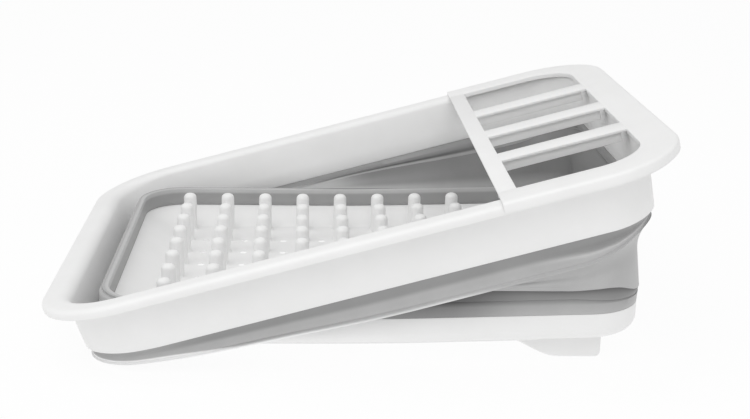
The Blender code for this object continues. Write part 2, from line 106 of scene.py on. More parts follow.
hole_radius = 2.3 * mm
hole_edge = 0.4 * mm
dish_radius = 11 * mm
dish_edge = 5.5 * mm
dish_floor = 1.2 * mm
hole_sides = 24
hole_columns = 9
hole_set_forward = 1.5 * mm
peg_columns = sorted(name for name in frame["nodes"] if name.startswith("peg_column"))
peg_boxes = [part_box(name) for name in peg_columns]
peg_rows = 8
peg_foot_radius = (peg_boxes[0][1].x - peg_boxes[0][0].x) / 2
column_places = [(low.x + high.x) / 2 for low, high in peg_boxes]
column_pitch = column_places[1] - column_places[0]
row_span = (peg_boxes[0][1].y - peg_boxes[0][0].y) / 2 - peg_foot_radius
row_places = [row_span * (2 * row / (peg_rows - 1) - 1) for row in range(peg_rows)]

plastic_dull = (0.85, 0.85, 0.846)
plastic_bright = (0.88, 0.88, 0.878)
plastic_wave = 0.5 * mm
plastic_grain = 0.012 * mm


def outline_rays(half_x, half_y, radius):
    """Corner centres and outward directions round a rounded rectangle: a point is root + reach * ray."""
    roots = []
    rays = []
    corners = ((1, 1), (-1, 1), (-1, -1), (1, -1))
    for corner, (sign_x, sign_y) in enumerate(corners):
        root = np.array((sign_x * (half_x - radius), sign_y * (half_y - radius)))
        for step in range(corner_steps + 1):
            angle = math.radians(90 * corner + 90 * step / corner_steps)
            roots.append(root)
            rays.append((math.cos(angle), math.sin(angle)))
        next_x, next_y = corners[(corner + 1) % 4]
        following = np.array((next_x * (half_x - radius), next_y * (half_y - radius)))
        count = end_steps if corner % 2 else side_steps
        for step in range(1, count):
            roots.append(root + (following - root) * step / count)
            rays.append(rays[-1])
    return np.array(roots), np.array(rays)


def smooth_share(value, low, high):
    """0 below low, 1 above high, and a smooth rise between them."""
    share = np.clip((value - low) / (high - low), 0, 1)
    return share * share * (3 - 2 * share)


def arc(centre, radii, first, last, steps):
    """Points of an elliptical arc in a profile, between two angles in degrees, both ends included."""
    turns = np.radians(np.linspace(first, last, steps + 1))
    return [(centre[0] + radii[0] * math.cos(t), centre[1] + radii[1] * math.sin(t)) for t in turns]


def mesh_from_loops(name, loops, closed):
    """A mesh through loops of equal count; closed joins the last loop to the first, open ends are capped."""
    count = len(loops[0])
    points = np.concatenate([np.asarray(loop) for loop in loops])
    faces = []
    for row in range(len(loops) if closed else len(loops) - 1):
        low = row * count
        high = (row + 1) % len(loops) * count
        for step in range(count):
            following = (step + 1) % count
            faces.append((low + step, low + following, high + following, high + step))
    if not closed:
        faces.append(tuple(range(count))[::-1])
        faces.append(tuple(range(len(points) - count, len(points))))
    mesh = bpy.data.meshes.new(name)
    mesh.from_pydata(points.tolist(), [], faces)
    work = bmesh.new()
    work.from_mesh(mesh)
    bmesh.ops.recalc_face_normals(work, faces=work.faces)
    work.to_mesh(mesh)
    work.free()
    return mesh


def join_meshes(name, parts):
    """One mesh made of several."""
    work = bmesh.new()
    for part in parts:
        work.from_mesh(part)
    mesh = bpy.data.meshes.new(name)
    work.to_mesh(mesh)
    work.free()
    return mesh


def smooth_over(mesh, sharp_degrees):
    """Shade a mesh smooth, except over edges sharper than the given angle."""
    mesh.shade_smooth()
    mesh.set_sharp_from_angle(angle=math.radians(sharp_degrees))


def place_piece(name, mesh, material, sharp_degrees):
    """Put a mesh in the scene as a piece of one material."""
    smooth_over(mesh, sharp_degrees)
    piece = bpy.data.objects.new(name, mesh)
    bpy.context.scene.collection.objects.link(piece)
    mesh.materials.clear()
    mesh.materials.append(material)
    return piece


def cut_away(piece, tool_mesh):
    """Cut the tool's solids out of the piece for good."""
    tool = bpy.data.objects.new("tool", tool_mesh)
    bpy.context.scene.collection.objects.link(tool)
    cut = piece.modifiers.new("cut", "BOOLEAN")
    cut.operation = "DIFFERENCE"
    cut.solver = "EXACT"
    cut.object = tool
    graph = bpy.context.evaluated_depsgraph_get()
    shaped = bpy.data.meshes.new_from_object(piece.evaluated_get(graph))
    piece.modifiers.clear()
    piece.data = shaped
    bpy.data.objects.remove(tool, do_unlink=True)


def cut_in_strips(mesh):
    """Cut a mesh across where the tray bends, so that its long flat faces can follow the bend."""
    work = bmesh.new()
    work.from_mesh(mesh)
    for place in np.linspace(bend_start, bend_end, bend_strips):
        everything = work.verts[:] + work.edges[:] + work.faces[:]
        bmesh.ops.bisect_plane(work, geom=everything, plane_co=(place, 0, 0), plane_no=(1, 0, 0))
    work.to_mesh(mesh)
    work.free()


def lift(x):
    """How far the bent base is lifted at a place along the rack."""
    along = np.clip(x - bend_start, 0, bend_end - bend_start)
    return bend_slope * (along ** 2 / (2 * (bend_end - bend_start)) + np.maximum(x - bend_end, 0))


def bend_up(mesh, still_below=None):
    """Lift a mesh with the bent base; parts under a given height stay nearer their place."""
    points = np.empty(3 * len(mesh.vertices))
    mesh.vertices.foreach_get("co", points)
    points = points.reshape(-1, 3)
    share = 1 if still_below is None else np.clip(points[:, 2] / still_below, 0, 1)
    points[:, 2] += lift(points[:, 0]) * share
    mesh.vertices.foreach_set("co", points.ravel())
    mesh.update()


def add_noise(tree, place, scale, detail, roughness):
    """A noise texture in the material, in cells per metre."""
    noise = tree.nodes.new("ShaderNodeTexNoise")
    noise.inputs["Scale"].default_value = scale
    noise.inputs["Detail"].default_value = detail
    noise.inputs["Roughness"].default_value = roughness
    tree.links.new(place, noise.inputs["Vector"])
    return noise.outputs["Fac"]


def spread(tree, value, low, high):
    """The middle range of a noise, stretched between low and high."""
    ramp = tree.nodes.new("ShaderNodeMapRange")
    ramp.inputs["From Min"].default_value = 0.3
    ramp.inputs["From Max"].default_value = 0.7
    ramp.inputs["To Min"].default_value = low
    ramp.inputs["To Max"].default_value = high
    tree.links.new(value, ramp.inputs["Value"])
    return ramp.outputs["Result"]


def mix_colours(tree, share, first, second):
    """A colour between two, by a 0 to 1 share."""
    mix = tree.nodes.new("ShaderNodeMix")
    mix.data_type = "RGBA"
    mix.inputs["A"].default_value = (*first, 1)
    mix.inputs["B"].default_value = (*second, 1)
    tree.links.new(share, mix.inputs["Factor"])
    return mix.outputs["Result"]


def add_bump(tree, height, distance, under=None):
    """A bump of the given depth in metres, laid over another one where there is one."""
    bump = tree.nodes.new("ShaderNodeBump")
    bump.inputs["Strength"].default_value = 1
    bump.inputs["Distance"].default_value = distance
    tree.links.new(height, bump.inputs["Height"])
    if under is not None:
        tree.links.new(under, bump.inputs["Normal"])
    return bump.outputs["Normal"]


def satin_white(name):
    """Satin white polypropylene: spark-eroded grain, slow shrinkage waves, faint cloudiness and scuffs."""
    material = bpy.data.materials.new(name)
    material.use_nodes = True
    tree = material.node_tree
    shader = tree.nodes["Principled BSDF"]
    place = tree.nodes.new("ShaderNodeTexCoord").outputs["Object"]
    cloud = add_noise(tree, place, 28, 4, 0.6)
    waves = add_noise(tree, place, 22, 1, 0.3)
    grain = add_noise(tree, place, 3200, 2, 0.6)
    scuffs = add_noise(tree, place, 160, 6, 0.75)
    colour = mix_colours(tree, spread(tree, cloud, 0, 1), plastic_dull, plastic_bright)
    tree.links.new(colour, shader.inputs["Base Color"])
    tree.links.new(spread(tree, scuffs, 0.36, 0.5), shader.inputs["Roughness"])
    shrink = add_bump(tree, waves, plastic_wave)
    fine = add_bump(tree, grain, plastic_grain, shrink)
    tree.links.new(fine, shader.inputs["Normal"])
    shader.inputs["IOR"].default_value = 1.49
    shader.inputs["Specular IOR Level"].default_value = 0.42
    return material


tray_roots, tray_rays = outline_rays(tray_half_x, tray_half_y, tray_corner)
tray_roots += np.array(tray_middle[:2])
tray_x = tray_roots[:, 0] + tray_rays[:, 0] * tray_corner


def tray_loop(inset, height):
    """A level loop drawn in from the tray's outline; inset and height may differ from point to point."""
    reach = (tray_corner - np.asarray(inset)) * np.ones(len(tray_rays))
    level = np.asarray(height) * np.ones(len(tray_rays))
    return np.column_stack((tray_roots + tray_rays * reach[:, None], level))


def round_loops(x, y, profile, sides):
    """Level rings round an upright axis, from pairs of radius and height."""
    turns = np.linspace(0, 2 * math.pi, sides, endpoint=False)
    loops = []
    for radius, height in profile:
        ring = (x + radius * np.cos(turns), y + radius * np.sin(turns), np.full(sides, height))
        loops.append(np.column_stack(ring))
    return loops


bead_drop = bead_deeper * (1 - smooth_share(abs(tray_x), bead_deep_reach, bead_plain_reach))
bead = arc((bead_inset, 0), (bead_round, bead_round), -10, -170, 8)
outer_round = (tray_outer_round, tray_outer_round)
rim_corner = (rim_round, rim_round)
tray_profile = [(13.4 * mm, floor_underside), (11.6 * mm, floor_underside - 0.1 * mm)]
tray_profile += [(inset, floor_underside + height - bead_drop) for inset, height in bead]
tray_profile += arc((tray_outer_round, tray_foot_level + tray_outer_round), outer_round, 270, 180, 10)
tray_profile += arc((rim_round, tray_top - rim_round), rim_corner, 180, 90, 2)
tray_profile += arc((tray_wall - rim_round, tray_top - rim_round), rim_corner, 90, 0, 2)
tray_profile += [
    (tray_wall + 0.2 * mm, slope_top),
    (slope_inset, slope_top - 0.2 * mm),
    (slope_inset + 9 * mm, slope_top - 5.2 * mm),
    (floor_inset - 1.2 * mm, floor_top + 0.5 * mm),
    (floor_inset - 0.4 * mm, floor_top + 0.08 * mm),
    (floor_inset + 0.4 * mm, floor_top),
]
tray_mesh = mesh_from_loops("tray", [tray_loop(*point) for point in tray_profile], closed=False)
tray = place_piece("tray", tray_mesh, satin_white("white_tray_plastic"), tray_sharp_degrees)

hole_profile = [
    (dish_radius, floor_underside - 0.5 * mm),
    (dish_radius, floor_top - dish_floor),
    (dish_edge, floor_top - dish_floor),
    (hole_radius, floor_top - hole_edge),
    (hole_radius, floor_top + 1 * mm),
]
holes = []
for column in range(hole_columns):
    x = column_places[0] + (column + 0.5) * column_pitch
    for y in row_places[1:-1]:
        loops = round_loops(x, y - hole_set_forward, hole_profile, hole_sides)
        holes.append(mesh_from_loops("hole", loops, closed=False))
cut_away(tray, join_meshes("holes", holes))
cut_in_strips(tray.data)
bend_up(tray.data)
smooth_over(tray.data, tray_sharp_degrees)
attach(tray, "base")
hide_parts("base_tray")

# Sixty-four round-topped pegs hold the plates up. They are moulded in one with the floor, in eight
# columns of eight. Each has a small fillet at its foot and a slight draft, so that it leaves the mould.
peg_top = peg_boxes[0][1].z
peg_radius = 4.4 * mm
peg_edge_round = 3.2 * mm
peg_draft = 0.25 * mm
peg_fillet = 1.3 * mm
peg_sink = 0.3 * mm
peg_tip = 0.3 * mm
peg_sides = 28
peg_widest = peg_radius + peg_draft
peg_fillet_middle = (peg_widest + peg_fillet, floor_top + peg_fillet)
peg_crown_middle = (peg_radius - peg_edge_round, peg_top - peg_edge_round)
peg_profile = [(peg_widest + peg_fillet, floor_top - peg_sink)]
peg_profile += arc(peg_fillet_middle, (peg_fillet, peg_fillet), 270, 180, 4)
peg_profile += arc(peg_crown_middle, (peg_edge_round, peg_edge_round - 0.15 * mm), 0, 84, 7)
peg_profile.append((peg_tip, peg_top))
white_peg_plastic = satin_white("white_peg_plastic")

for name, x in zip(peg_columns, column_places):
    column_loops = [round_loops(x, y, peg_profile, peg_sides) for y in row_places]
    column_mesh = join_meshes(name, [mesh_from_loops(name, loops, closed=False) for loops in column_loops])
    bend_up(column_mesh)
    pegs_name = name.replace("peg_column", "pegs")
    pegs = place_piece(pegs_name, column_mesh, white_peg_plastic, sharp_degrees=50)
    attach(pegs, "base")
    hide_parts(name)

# Four feet are moulded under the corners of the tray, in the same shot of white polypropylene. Each has a
# flat sole, an upright outer end and an S-shaped sweep up to the bead, with its edges rounded off.
foot_corner = 3 * mm
foot_sole_length = 24.5 * mm
foot_end_in = 1.3 * mm
foot_longer = 4.5 * mm
foot_let_in = 0.2 * mm
foot_edge_round = 1.8 * mm
sweep_top = 11.2 * mm
sweep_steps = 14
white_foot_plastic = satin_white("white_foot_plastic")


def foot_outline(low, high):
    """The foot seen from the front, from its outer top corner round the sole to the end of the sweep."""
    outer_on_right = high.x > 0
    inward = -1 if outer_on_right else 1
    outer = (high.x if outer_on_right else low.x) + inward * foot_end_in
    length = high.x - low.x + foot_longer
    top = floor_underside + foot_let_in
    points = [(outer, top)]
    for across, height in arc((foot_corner, foot_corner), (foot_corner, foot_corner), 180, 270, 6):
        points.append((outer + inward * across, height))
    sweep = length - foot_sole_length
    for step in range(sweep_steps):
        share = step / sweep_steps
        rise = (1 - math.cos(share * math.pi)) / 2
        points.append((outer + inward * (foot_sole_length + sweep * share), sweep_top * rise))
    points.append((outer + inward * length, sweep_top))
    points.append((outer + inward * length, top))
    return points


for name in ("foot_front_left", "foot_front_right", "foot_back_left", "foot_back_right"):
    low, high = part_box(name)
    side = foot_outline(low, high)
    loops = [[(x, y, z) for x, z in side] for y in (low.y, high.y)]
    foot_mesh = mesh_from_loops(name, loops, closed=False)
    bend_up(foot_mesh, floor_underside)
    foot_name = name.replace("foot", "moulded_foot")
    foot = place_piece(foot_name, foot_mesh, white_foot_plastic, sharp_degrees=60)
    rounding = foot.modifiers.new("rounded edges", "BEVEL")
    rounding.width = foot_edge_round
    rounding.segments = 4
    rounding.limit_method = "ANGLE"
    rounding.angle_limit = math.radians(50)
    rounding.use_clamp_overlap = True
    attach(foot, "base")
    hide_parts(name)

# The frame is a second injection moulding in white polypropylene. A broad flange with a turned-down edge
# runs round its top, and its wall leans in a little, down to the line where the grey folding wall is
# moulded on. This wall is a little shorter at the folded end.
joints = {joint["name"]: joint for joint in frame["joints"]}
tilt = math.radians(joints["left_end_rises"]["range_deg"][1])
upright = Matrix.Rotation(tilt, 4, "Y")
frame_points = np.array([upright @ v.co for v in frame["nodes"]["upper_frame"].data.vertices])
frame_low = frame_points.min(axis=0)
frame_high = frame_points.max(axis=0)
frame_half_x = (frame_high[0] - frame_low[0]) / 2
frame_half_y = (frame_high[1] - frame_low[1]) / 2
frame_centre_x = (frame_high[0] + frame_low[0]) / 2
frame_level = frame_high[2]
lean_back = Matrix.Rotation(-tilt, 4, "Y") @ Matrix.Translation((frame_centre_x, 0, frame_level))
lean_axes = np.array(lean_back.to_3x3())
lean_place = np.array(lean_back.translation)
frame_corner = 50 * mm
flange_width = 15.5 * mm
flange_thickness = 1.9 * mm
flange_edge_drop = 5.6 * mm
flange_edge = (3.2 * mm, 2.6 * mm)
flange_lining = (2.2 * mm, 2.1 * mm)
wall_foot_inset = 15.8 * mm
wall_fillet = (1.8 * mm, 2.2 * mm)
wall_depth_right = 35.1 * mm
wall_depth_left = 32.6 * mm
wall_shortens_from = 66 * mm
wall_shortens_to = 20 * mm
lap_height = 3.3 * mm
wall_in_right = 3.1 * mm
wall_in_left = 0.4 * mm
inner_in_left = 1.3 * mm
inner_round_right = 4.5 * mm
inner_round_left = 8 * mm
frame_roots, frame_rays = outline_rays(frame_half_x, frame_half_y, frame_corner)
frame_x = frame_roots[:, 0] + frame_rays[:, 0] * (frame_corner - wall_foot_inset)
left_share = smooth_share(-frame_rays[:, 0], 0, 1)
right_share = smooth_share(frame_rays[:, 0], 0, 1)
short_share = smooth_share(-frame_x, frame_half_x - wall_shortens_from, frame_half_x - wall_shortens_to)
wall_depth = wall_depth_right + (wall_depth_left - wall_depth_right) * short_share
lap_depth = wall_depth - lap_height


def frame_loop(inset, depth):
    """A loop drawn in from the frame's outline at a depth under its top, leaned with the frame."""
    reach = (frame_corner - np.asarray(inset)) * np.ones(len(frame_rays))
    level = -np.asarray(depth) * np.ones(len(frame_rays))
    flat = np.column_stack((frame_roots + frame_rays * reach[:, None], level))
    return flat @ lean_axes.T + lean_place


wall_in = wall_in_right * right_share + wall_in_left * left_share
inner_in = wall_in_right * right_share + inner_in_left * left_share
inner_round = inner_round_right + (inner_round_left - inner_round_right) * left_share
round_top = flange_width + inner_in - inner_round
frame_profile = [(0.5 * mm, flange_edge_drop), (0.15 * mm, 4.8 * mm), (0, 3.2 * mm)]
frame_profile += arc(flange_edge, flange_edge, 180, 270, 8)
frame_profile += [(6 * mm, -0.05 * mm), (8 * mm, -0.06 * mm)]
frame_profile += arc((round_top, inner_round), (inner_round, inner_round), 270, 348, 10)
frame_profile += [
    (16.5 * mm + inner_in, 14 * mm),
    (17.3 * mm + inner_in, 22 * mm),
    (17.9 * mm + inner_in, lap_depth - 0.5 * mm),
    (17.6 * mm + inner_in, lap_depth),
    (16.9 * mm + wall_in, lap_depth + 0.2 * mm),
    (16.7 * mm + wall_in, wall_depth),
    (wall_foot_inset + 0.3 * mm + wall_in, wall_depth),
    (wall_foot_inset + wall_in, wall_depth - 0.4 * mm),
    (15.1 * mm + wall_in, 26 * mm),
    (14.3 * mm + wall_in, 16 * mm),
    (13.6 * mm + wall_in, 6.5 * mm),
]
frame_profile += arc((11.6 * mm + wall_in, 4.1 * mm), wall_fillet, 0, -90, 4)
frame_profile += [(6 * mm, flange_thickness), (4 * mm, flange_thickness)]
frame_profile += arc((4 * mm, 4 * mm), flange_lining, 270, 180, 5)
frame_profile += [(1.75 * mm, flange_edge_drop)]
frame_mesh = mesh_from_loops("frame_shell", [frame_loop(*point) for point in frame_profile], closed=True)
white_frame_plastic = satin_white("white_frame_plastic")
frame_shell = place_piece("frame_shell", frame_mesh, white_frame_plastic, sharp_degrees=40)
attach(frame_shell, "frame")
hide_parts("upper_frame")

# The folding wall is soft grey elastomer, moulded on to the tray below and the frame above. Its lower band
# stands on the tray's rim and ends in a rolled crest, where the next band is folded over it.
crest_height = 39.3 * mm
crest_drawn_down = 2.6 * mm
crest_bead_round = 0.75 * mm
crest_lining_round = 0.7 * mm
cap_outset_lying = 0.6 * mm
cap_outset_standing = 0.1 * mm
lower_thickness = 3.3 * mm
fold_inset = 19.8 * mm
fold_depth_left = 38.3 * mm
fold_depth_open = 52.2 * mm
fold_depth_behind = 44.8 * mm
pressed_length = 190 * mm
fold_waves = ((-120 * mm, 0.8 * mm), (-48 * mm, -0.8 * mm))
fold_wave_length = 35 * mm
drawn_band_height = 5 * mm
drawn_from = 18 * mm
behind_from = 50 * mm
behind_to = 24 * mm
lying_below = -7 * mm
standing_above = 9 * mm
crest_rows = 8
# Strength of the painted highlight on the crest and of the painted shade on the lining.
crest_pale = 0.12
lower_lining_shade = 0.26
grey_dark = (0.43, 0.43, 0.43)
grey_light = (0.475, 0.475, 0.475)
# Tones that the painted highlight and the painted shade mix into the grey.
painted_highlight_tone = 0.9
painted_shade_tone = 0.03
grey_flow = 0.12 * mm
grey_grain = 0.02 * mm


def soft_grey(name):
    """Satin grey elastomer: cloudy and finely grained, with a painted highlight and painted shade mixed into
    its colour from marks.
    """
    material = bpy.data.materials.new(name)
    material.use_nodes = True
    tree = material.node_tree
    shader = tree.nodes["Principled BSDF"]
    place = tree.nodes.new("ShaderNodeTexCoord").outputs["Object"]
    cloud = add_noise(tree, place, 35, 5, 0.6)
    flow = add_noise(tree, place, 90, 2, 0.5)
    grain = add_noise(tree, place, 2600, 3, 0.6)
    colour = mix_colours(tree, spread(tree, cloud, 0, 1), grey_dark, grey_light)
    # Painted highlight and painted shade: each mark mixes the colour towards a pale or a dark tone.
    for attribute, tone in (("painted_highlight", painted_highlight_tone), ("painted_shade", painted_shade_tone)):
        marked = tree.nodes.new("ShaderNodeAttribute")
        marked.attribute_name = attribute
        toned = tree.nodes.new("ShaderNodeMix")
        toned.data_type = "RGBA"
        toned.inputs["B"].default_value = (tone, tone, tone, 1)
        tree.links.new(marked.outputs["Fac"], toned.inputs["Factor"])
        tree.links.new(colour, toned.inputs["A"])
        colour = toned.outputs["Result"]
    tree.links.new(colour, shader.inputs["Base Color"])
    tree.links.new(spread(tree, cloud, 0.36, 0.44), shader.inputs["Roughness"])
    soft = add_bump(tree, flow, grey_flow)
    fine = add_bump(tree, grain, grey_grain, soft)
    tree.links.new(fine, shader.inputs["Normal"])
    shader.inputs["IOR"].default_value = 1.47
    shader.inputs["Specular IOR Level"].default_value = 0.4
    return material


def mark(mesh, attribute, rows):
    """Write a 0 to 1 value for each loop of a mesh, or for each point of its loops."""
    values = np.array([row * np.ones(len(frame_rays)) for row in rows], dtype=np.float32)
    mesh.attributes.new(attribute, "FLOAT", "POINT").data.foreach_set("value", values.ravel())


frame_along = frame_roots[:, 0] + frame_rays[:, 0] * (frame_corner - fold_inset)
frame_across = frame_roots[:, 1] + frame_rays[:, 1] * (frame_corner - fold_inset)
drawn = smooth_share(frame_along, frame_half_x - frame_corner - drawn_from, frame_half_x - fold_inset)
at_back = smooth_share(frame_across, frame_half_y - behind_from, frame_half_y - behind_to)
# These shares along the rack set where the painted shade is laid on.
unfolded = smooth_share(frame_along, -60 * mm, -10 * mm)
shaded = unfolded * (1 - smooth_share(frame_along, 40 * mm, 100 * mm))

pressed = np.clip((frame_along + frame_half_x - fold_inset) / pressed_length, 0, 1)
fold_depth = fold_depth_left + (fold_depth_open - fold_depth_left) * (1 - (1 - pressed) ** 2)
for place, height in fold_waves:
    fold_depth += height * np.exp(-((frame_along - place) / fold_wave_length) ** 2)
rise_behind = smooth_share(frame_along, -20 * mm, 120 * mm)
depth_behind = fold_depth_left + (fold_depth_behind - fold_depth_left) * rise_behind
fold_depth += (depth_behind - fold_depth) * at_back
fold_depth -= (fold_depth - wall_depth.max() - drawn_band_height) * drawn
fold_line = frame_loop(fold_inset + 1.5 * mm, fold_depth - 1.2 * mm)
standing = smooth_share(fold_line[:, 2] - crest_height, lying_below, standing_above)

crest_level = crest_height - crest_drawn_down * drawn
cap_outset = cap_outset_lying + (cap_outset_standing - cap_outset_lying) * standing
crest_bead = (crest_bead_round, crest_bead_round)
crest_lining = (crest_lining_round, crest_lining_round)
lining_middle = (lower_thickness - crest_lining_round, crest_level - 0.9 * mm)
lower_profile = [
    (0.05 * mm, tray_top + 0.1 * mm),
    (-0.1 * mm, tray_top + 2 * mm),
    (-0.3 * mm, tray_top + 6 * mm),
    (-0.1 * mm, crest_level - 2.2 * mm),
]
lower_profile += arc((crest_bead_round - cap_outset, crest_level - crest_bead_round), crest_bead, 250, 70, 8)
outer_rows = len(lower_profile)
lower_profile += [(0.9 * mm, crest_level - 0.55 * mm), (lower_thickness - 1.2 * mm, crest_level - 0.45 * mm)]
lower_profile += arc(lining_middle, crest_lining, 100, 0, 4)
lower_profile += [(lower_thickness + 0.05 * mm, crest_level - drop * mm) for drop in (2.5, 4, 9)]
lower_profile += [
    (lower_thickness + 0.5 * mm, slope_top + 0.4 * mm),
    (lower_thickness + 0.3 * mm, slope_top + 0.1 * mm),
    (tray_wall + 0.3 * mm, slope_top + 0.2 * mm),
    (tray_wall + 0.1 * mm, tray_top + 0.1 * mm),
]
lower_mesh = mesh_from_loops("wall_lower", [tray_loop(*point) for point in lower_profile], closed=True)

# Painted shade darkens the outer face of the lower band under the roll, most at the front, and its lining; a
# painted highlight makes the top of the crest paler.
shade_low = 0.4 * shaded
shade_top = 0.1 + 0.3 * unfolded + 0.35 * shaded
outer_shades = [shade_low + (shade_top - shade_low) * share for share in (0, 0.1, 0.3, 0.9)]
outer_shades += [shade_top] * (outer_rows - len(outer_shades))
inner_rows = len(lower_profile) - outer_rows - crest_rows
mark(lower_mesh, "painted_shade", outer_shades + [0] * crest_rows + [lower_lining_shade] * inner_rows)
mark(lower_mesh, "painted_highlight", [0] * outer_rows + [crest_pale] * crest_rows + [0] * inner_rows)
bend_up(lower_mesh)
wall_grey = soft_grey("wall_grey")
lower_band = place_piece("wall_lower", lower_mesh, wall_grey, sharp_degrees=60)
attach(lower_band, "base")
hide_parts("wall_lower_band")

# The upper band of the same grey elastomer is moulded on under the frame's wall. It draws in below the
# moulded line, then drops almost straight to a thin lip at the fold. At the folded end it is rolled up
# short, with a fat round fold, and near the raised end a ridge is stretched across it. The lip and the
# ridge carry a painted highlight, and the band carries painted shade.
band_top = wall_depth + 0.05 * mm
band_step = 0.85 * mm
upper_thickness = 2.0 * mm
upper_lean = 2.9 * mm
upper_lean_back = 1.5 * mm
groove_depth = 0.8 * mm
groove_share = 0.87
lip_height = 0.8 * mm
lip_share = 0.96
lip_spread = 0.045
ridge_height = 1.0 * mm
ridge_spread = 0.06
hollow_depth = 0.7 * mm
hollow_above = 0.16
hollow_spread = 0.12
lip_rows = 3
lip_lining_rows = 2
lining_rows = 9
lap_rows = 4
# Strength and spread of the painted highlight on the ridge, and the painted shade on the lip's inner corner
# and the lap.
ridge_pale = 0.22
ridge_pale_spread = 0.07
ridge_pale_below = 0.02
lip_lining_shade = 0.1
lap_shade = 0.2
ridge_on = smooth_share(frame_along, 78 * mm, 128 * mm)
ridge_share = 0.5 + 0.15 * smooth_share(frame_along, 90 * mm, 145 * mm)
lip_inset = fold_inset + wall_in * 0.6
lip_width = 1.8 * mm + 2.6 * mm * (1 - standing)
not_drawn = 1 - drawn ** 3


def upper_skin(share):
    """Inset and depth of the outer skin, at a share of the way down from the frame's wall to the lip."""
    lean = upper_lean * smooth_share(share, -0.1, 0.42)
    lean -= upper_lean_back * smooth_share(share, 0.4, 0.86) * (1 - drawn)
    groove = groove_depth * math.exp(-((share - groove_share) / lip_spread) ** 2)
    lip = -lip_height * math.exp(-((share - lip_share) / lip_spread) ** 2)
    ridge = -ridge_height * np.exp(-((share - ridge_share) / ridge_spread) ** 2)
    ridge += hollow_depth * np.exp(-((share - ridge_share + hollow_above) / hollow_spread) ** 2)
    folds = ((groove + lip) * (1 - 0.4 * standing) + ridge * ridge_on) * not_drawn
    inset = wall_foot_inset + band_step + wall_in + lean + folds
    return inset, band_top + (fold_depth - band_top) * share


def upper_lining(share):
    """Inset and depth of the inner face, at a share of the way down to the lip."""
    lean = 2.5 * mm * smooth_share(share, -0.1, 0.52) + 0.5 * mm * share
    inset = wall_foot_inset + 0.3 * mm + wall_in + upper_thickness + lean
    return inset, band_top + (fold_depth - 2.6 * mm - band_top) * share


upper_shares = np.concatenate((np.linspace(0, 0.8, 21), np.linspace(0.82, 0.99, 16)))
upper_profile = [upper_skin(share) for share in upper_shares]
upper_profile += [
    (lip_inset - 0.2 * mm, fold_depth + 0.1 * mm),
    (lip_inset + lip_width / 2, fold_depth + 0.25 * mm),
    (lip_inset + lip_width - 0.5 * mm, fold_depth),
    (lip_inset + lip_width, fold_depth - 0.8 * mm),
    (lip_inset + lip_width - 0.7 * mm, fold_depth - 2.2 * mm),
]
upper_profile += [upper_lining(share) for share in np.linspace(0.8, 0, lining_rows)]
upper_profile += [
    (17.95 * mm + inner_in, lap_depth + 1 * mm),
    (17.85 * mm + inner_in, lap_depth + 0.1 * mm),
    (17.0 * mm + wall_in, lap_depth + 0.3 * mm),
    (16.8 * mm + wall_in, band_top),
]
upper_mesh = mesh_from_loops("wall_upper", [frame_loop(*point) for point in upper_profile], closed=True)

# Painted highlight: the lip at the fold is painted paler, most at the folded end, and so is a line along the
# ridge near the raised end.
pale_start = 0.72 + 0.2 * smooth_share(frame_along, -125 * mm, -75 * mm)
pale_most = 1 - 0.4 * smooth_share(frame_along, -60 * mm, 20 * mm)
pale_most -= 0.6 * smooth_share(frame_along, 40 * mm, 75 * mm)
pale_ridge = ridge_pale * ridge_on * not_drawn
pale_rows = []
for share in upper_shares:
    at_fold = smooth_share(share, pale_start - 0.04, pale_start + 0.04)
    on_ridge = np.exp(-((share - ridge_share - ridge_pale_below) / ridge_pale_spread) ** 2)
    pale_rows.append(at_fold * pale_most + on_ridge * pale_ridge)
pale_rows += [pale_most] * lip_rows + [0] * (lip_lining_rows + lining_rows + lap_rows)
mark(upper_mesh, "painted_highlight", pale_rows)

# Painted shade: the outer face is darkened above the ridge, and the lip's inner corner, the lining and the
# lap are darkened too.
shade_most = (0.1 + 0.26 * smooth_share(frame_along, -140 * mm, -90 * mm)) * not_drawn
upper_shades = [shade_most * (1 - smooth_share(share - ridge_share, -0.14, 0.04)) for share in upper_shares]
raised = smooth_share(frame_along, 20 * mm, 110 * mm)
lining_low = 0.1 + 0.24 * unfolded
lining_more = 0.52 * unfolded - 0.24 * raised
lining_shades = [lining_low + lining_more * share ** 0.5 for share in np.linspace(1, 0, lining_rows)]
lip_shades = [0] * lip_rows + [lip_lining_shade] * lip_lining_rows
mark(upper_mesh, "painted_shade", upper_shades + lip_shades + lining_shades + [lap_shade] * lap_rows)
upper_band = place_piece("wall_upper", upper_mesh, wall_grey, sharp_degrees=60)
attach(upper_band, "frame")
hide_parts("wall_upper_band")

# The middle band is the soft grey panel, moulded in one with the other two, that joins the lip to the
# crest. It hangs inside the folded end, lies flat where the frame crosses the tray, and stands and bulges
# at the raised end. It is shown as two pieces, the lower one from the crest and the upper one up to the lip.
panel_thickness = 1.5 * mm
drawn_fold_inset = 33 * mm
drawn_fold_depth = 52.5 * mm
roll_level = 47.6 * mm
corner_rise = 2.6 * mm
end_roll_drop = 7.8 * mm
panel_bulge = 1.4 * mm
fold_round_share = 0.22
neck_rows = 4
roll_out_rows = 6
roll_rows = 8
face_rows = 16
fold_rows = 8
lip_end_rows = 6
# Rows of the painted shade in the gap under the roll, and its strength.
gap_rows = 12
gap_fade_rows = 5
gap_shade = 0.95
split_rows = 32
split_least = 0.05
knee_row = neck_rows + roll_out_rows + roll_rows

behind = smooth_share(tray_loop(0, 0)[:, 1], tray_half_y - behind_from, tray_half_y - 12 * mm)
flat_behind = behind * smooth_share(standing, 0, 0.4)
panel_top_inset = lip_inset + 0.9 * mm + 2.6 * mm * (1 - standing)
panel_top = frame_loop(panel_top_inset, fold_depth - 0.9 * mm)
crest_end = tray_loop(-0.3 * mm + 1.0 * mm * standing, crest_level - 1.2 * mm)
crest_end[:, 2] += lift(crest_end[:, 0])


